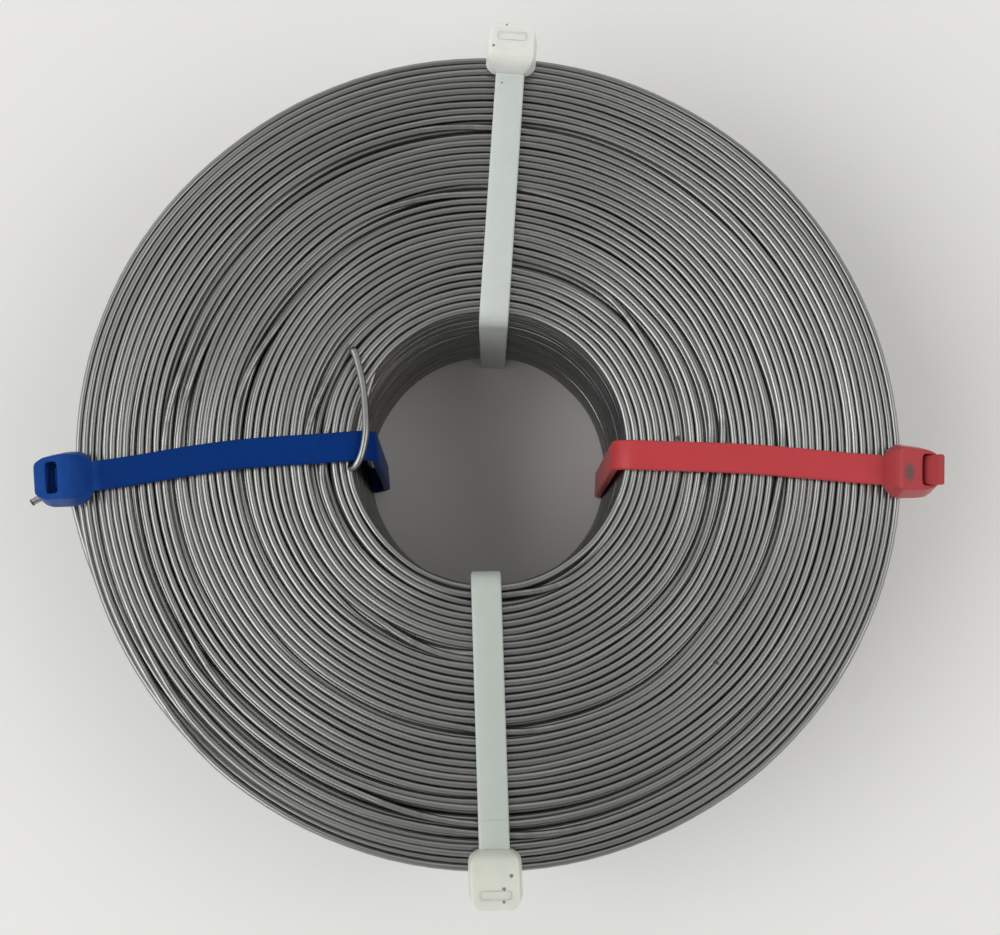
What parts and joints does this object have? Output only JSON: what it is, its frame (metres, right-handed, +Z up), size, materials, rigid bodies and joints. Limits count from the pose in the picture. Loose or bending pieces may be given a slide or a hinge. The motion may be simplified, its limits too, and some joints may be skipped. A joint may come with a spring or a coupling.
{
  "type": "coil of lashing wire",
  "caption": "Flat coil of bright stainless lashing wire with an open bore, its layers bound by nylon cable ties round the winding and its wire ends bent out at the ties.",
  "frame": {"origin": "on the coil's axis, on the floor that the coil lies on", "axes": "+Z up along the coil's axis, +X towards the red tie, +Y towards the far uncoloured tie"},
  "size_m": [0.1439, 0.141, 0.0538],
  "materials": {
    "bright_wire": "bright drawn stainless wire, satin along its length",
    "natural_nylon": "uncoloured moulded nylon, slightly milky",
    "blue_nylon": "blue moulded nylon, satin",
    "red_nylon": "red moulded nylon, satin"
  },
  "bodies": {
    "root": {"wire_coil": "bright_wire", "inner_wire_end": "bright_wire", "outer_wire_end": "bright_wire", "natural_tie_far": "natural_nylon", "natural_tie_near": "natural_nylon", "blue_tie": "blue_nylon", "red_tie": "red_nylon"}
  },
  "joints": []
}
